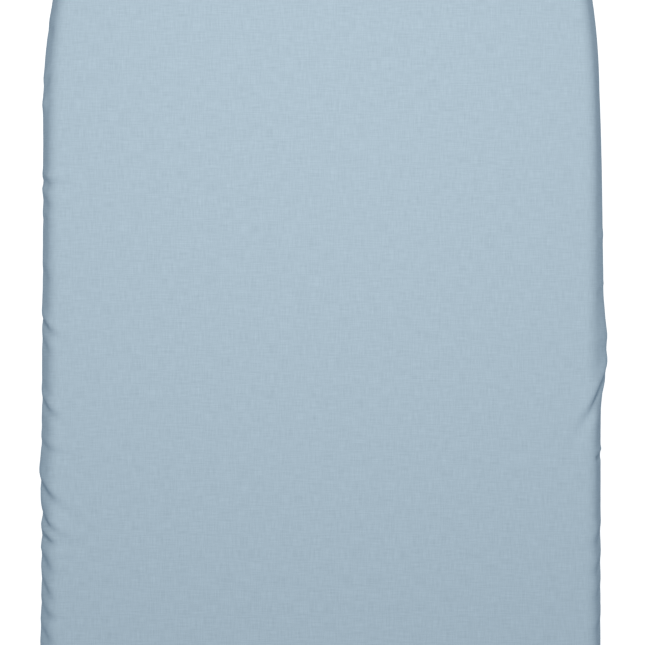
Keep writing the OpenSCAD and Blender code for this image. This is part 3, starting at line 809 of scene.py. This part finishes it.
thread = Finish("cotton_thread", Roughness=0.75)
thread_twist = thread.noise(thread.place(), scale=3500.0, detail=1.0)
thread.feed("Base Color", thread.mix(thread_twist, rgb(0.50, 0.61, 0.69), rgb(0.70, 0.79, 0.85)))
thread.feed("Normal", thread.bump(thread_twist, 0.00008, 0.6))
stitch_turn = 0.72     # how far each row lies from the casing's underside, in radians
stitch_rows = [casing_ring(math.pi + turn, 0.0001) for turn in (-stitch_turn, stitch_turn)]
count = casing_line.count
stitch_edges = [
    (row * count + i, row * count + (i + 1) % count) for row in range(2) for i in range(count)
]
stitches = repeated(
    "casing_stitches", repeat_tree("lockstitch", 5), np.concatenate(stitch_rows), stitch_edges,
    {
        "Spacing": 0.0031, "Bead Length": 0.0025, "Bead Width": 0.00050,
        "Bead Height": 0.00042, "Unevenness": 0.08, "Finish": thread.material,
    },
)
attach(stitches, "board")

# ---- Care label ----
# A short length of satin ribbon, blank, caught in the casing's seam at its outer end. It
# curls a little where it hangs free.

label_low, label_high = (Vector(corner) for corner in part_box("care_label"))
label_points, label_rows, label_columns = [], 14, 9
label_droop, label_wave, label_cup = 0.0030, 0.0005, 0.0007
for run in np.linspace(0, 1, label_rows):
    droop = -label_droop * run**1.6 + label_wave * math.sin(7 * run)
    for side in np.linspace(0, 1, label_columns):
        cup = label_cup * (2 * side - 1) ** 2 * run
        label_points.append((
            label_low.x + (label_high.x - label_low.x) * run * (1 - 0.02 * side),
            label_low.y + (label_high.y - label_low.y) * side,
            (label_low.z + label_high.z) / 2 + droop + cup,
        ))
label_faces = []
for row in range(label_rows - 1):
    for first in range(row * label_columns, (row + 1) * label_columns - 1):
        label_faces.append((first, first + 1, first + label_columns + 1, first + label_columns))
label_mesh = bpy.data.meshes.new("satin_label")
label_mesh.from_pydata(label_points, [], label_faces)
label_mesh.polygons.foreach_set("use_smooth", [True] * len(label_mesh.polygons))
label = bpy.data.objects.new("satin_label", label_mesh)
bpy.context.collection.objects.link(label)
ribbon = label.modifiers.new("ribbon", "SOLIDIFY")
ribbon.thickness, ribbon.offset = 0.0003, 0.0
satin = Finish("label_satin", Sheen_Weight=0.2)
satin_x, satin_y, satin_z = satin.axes(satin.place())
satin_ribs = satin.noise(satin.vector(satin_x * 2600.0, satin_y * 120.0, satin_z))
satin.feed("Base Color", satin.mix(satin_ribs, rgb(0.74, 0.74, 0.72), rgb(0.90, 0.90, 0.88)))
satin.feed("Roughness", satin_ribs * 0.3 + 0.22)
satin.feed("Normal", satin.bump(satin_ribs, 0.00008, 0.6))
label.data.materials.append(satin.material)
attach(label, "board")
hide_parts("care_label")

# ---- Tack welds ----
# Short beads that join both sides of the four cross channels to the deck, under the same
# coating. Each is laid where the deck is whole, between two vents.

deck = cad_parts["vented_deck"]
deck_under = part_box("vented_deck")[0][2]
weld_length, weld_spacing = 0.009, 0.040
tries_apart, end_margin = 0.003, 0.020
weld_points, weld_edges = [], []
for rail in ("front_pivot_rail", "front_clip_rail", "rear_clip_rail", "rear_pivot_rail"):
    rail_low, rail_high = (Vector(corner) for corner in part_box(rail))
    for weld_y in (rail_low.y - 0.0004, rail_high.y + 0.0004):
        last_weld = -1.0
        for weld_x in np.arange(-0.125, 0.126, tries_apart):
            if weld_x - last_weld < weld_spacing or abs(weld_x) > rail_high.x - end_margin:
                continue
            whole = True
            for apart in (-0.006, -0.003, 0.0, 0.003, 0.006):
                below = Vector((weld_x + apart, weld_y, deck_under - 0.01))
                met, meeting, _, _ = deck.ray_cast(below, Vector((0, 0, 1)))
                whole = whole and met and meeting.z < deck_under + 0.0002
            if whole:
                weld_edges.append((len(weld_points), len(weld_points) + 1))
                for end_x in (weld_x - weld_length / 2, weld_x + weld_length / 2):
                    weld_points.append((end_x, weld_y, deck_under - 0.0003))
                last_weld = weld_x
welds = repeated(
    "rail_welds", repeat_tree("weld_bead", 11), weld_points, weld_edges,
    {
        "Spacing": 0.0015, "Bead Length": 0.0030, "Bead Width": 0.0036,
        "Bead Height": 0.0022, "Unevenness": 0.12, "Finish": frame_coat.material,
    },
)
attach(welds, "board")

# ---- Small fittings ----
# Zinc-plated brackets, bright rivets and pins, dark moulded clips and feet, nylon bushes,
# black rubber soles and a plated wire loop.

zinc = Finish("zinc_plate", Metallic=0.9)
zinc_place = zinc.place()
zinc_x, zinc_y, zinc_z = zinc.axes(zinc_place)
zinc_grain = zinc.noise(zinc.vector(zinc_x * 900.0, zinc_y * 900.0, zinc_z * 60.0), detail=2.0)
zinc_cloud = zinc.noise(zinc_place, scale=90.0, detail=4.0)
zinc.feed("Base Color", zinc.mix(zinc_cloud, rgb(0.50, 0.52, 0.54), rgb(0.68, 0.69, 0.68)))
zinc.feed("Roughness", zinc_cloud * 0.25 + zinc_grain * 0.15 + 0.18)
zinc.feed("Normal", zinc.bump(zinc_grain, 0.00004, 0.4))
zinc.on("front_leg_brackets", "rear_leg_brackets", "hanging_loop")

bright = Finish("bright_steel", Metallic=1.0)
bright_place = bright.place()
bright_cloud = bright.noise(bright_place, scale=240.0, detail=3.0)
bright.feed("Base Color", bright.mix(bright_cloud, rgb(0.62, 0.62, 0.61), rgb(0.74, 0.74, 0.73)))
bright.feed("Roughness", bright_cloud * 0.25 + 0.15)
bright.on("bracket_rivets", "front_pivot_pins", "rear_pivot_pins", "clip_rivets")
bright.on("saddle_rivets")


def moulded(name, light, dark, roughness, grain_scale, grain_depth):
    """Moulded plastic or rubber with a fine spark-eroded grain."""
    plastic = Finish(name, Metallic=0.0)
    place = plastic.place()
    cloud = plastic.noise(place, scale=60.0, detail=3.0)
    plastic.feed("Base Color", plastic.mix(cloud, light, dark))
    plastic.feed("Roughness", cloud * 0.15 + (roughness - 0.07))
    grain = plastic.noise(place, scale=grain_scale, detail=2.0)
    plastic.feed("Normal", plastic.bump(grain, grain_depth, 0.6))
    return plastic


clip_plastic = moulded(
    "clip_plastic", rgb(0.050, 0.054, 0.060), rgb(0.066, 0.070, 0.077), 0.48, 2200.0, 0.00006
)
clip_plastic.on("front_leg_clip", "rear_leg_clip", "loop_saddle", "front_feet", "rear_feet")
nylon = moulded("nylon", rgb(0.80, 0.78, 0.70), rgb(0.72, 0.70, 0.62), 0.45, 1500.0, 0.00003)
nylon.on("front_leg_bushes", "rear_leg_bushes")
rubber = moulded("rubber", rgb(0.016, 0.016, 0.016), rgb(0.030, 0.030, 0.030), 0.85, 3000.0, 0.0001)
rubber.on("front_foot_soles", "rear_foot_soles")

elastic = Finish("woven_elastic", Roughness=0.9)
elastic_x, elastic_y, _ = elastic.axes(elastic.place())
elastic_ribs = ((elastic_x + elastic_y) * 4200.0).maths("SINE") * 0.5 + 0.5
elastic.feed("Base Color", elastic.mix(elastic_ribs, rgb(0.70, 0.69, 0.66), rgb(0.86, 0.85, 0.82)))
elastic.feed("Normal", elastic.bump(elastic_ribs, 0.0002, 0.6))
elastic.on("hem_elastic")

# ---- Table, light and camera ----
# A plain white table, a square light a metre up that shines straight down from nearer
# the nose, a dim blue-grey world that fills the shadows, and a long lens straight above.

view_width = 0.3686
view_centre = Vector((0.0, -0.0727, 0.118))
lens, sensor = 120.0, 36.0

bpy.ops.mesh.primitive_plane_add(size=14.0, location=(0, 0, -0.0004))
table = bpy.context.object
table.name = "table_top"
table_finish = Finish("table_white", Roughness=0.9, Specular_IOR_Level=0.0)
table_finish.shader.inputs["Base Color"].default_value = rgb(0.35, 0.35, 0.35)
table_finish.shader.inputs["Emission Color"].default_value = rgb(1.0, 1.0, 1.0)
table_finish.shader.inputs["Emission Strength"].default_value = 0.95
table.data.materials.append(table_finish.material)
table.visible_diffuse = False

light_data = bpy.data.lights.new("nose_light", "AREA")
light_data.shape = "SQUARE"
light_data.size = 0.24
light_data.energy = 4.95
light_data.color = (1.08, 1.0, 0.92)
nose_light = bpy.data.objects.new("nose_light", light_data)
nose_light.location = (0.0, 0.15, 0.99)
bpy.context.collection.objects.link(nose_light)

world = bpy.data.worlds.new("studio")
world.use_nodes = True
world.node_tree.nodes["Background"].inputs["Color"].default_value = rgb(0.285, 0.345, 0.405)
world.node_tree.nodes["Background"].inputs["Strength"].default_value = 1.0
bpy.context.scene.world = world
bpy.context.scene.view_settings.view_transform = "Standard"

camera_data = bpy.data.cameras.new("camera")
camera_data.lens, camera_data.sensor_width = lens, sensor
camera_data.clip_end = 20.0
camera = bpy.data.objects.new("camera", camera_data)
camera.location = view_centre + Vector((0, 0, view_width * lens / sensor))
bpy.context.collection.objects.link(camera)
bpy.context.scene.camera = camera
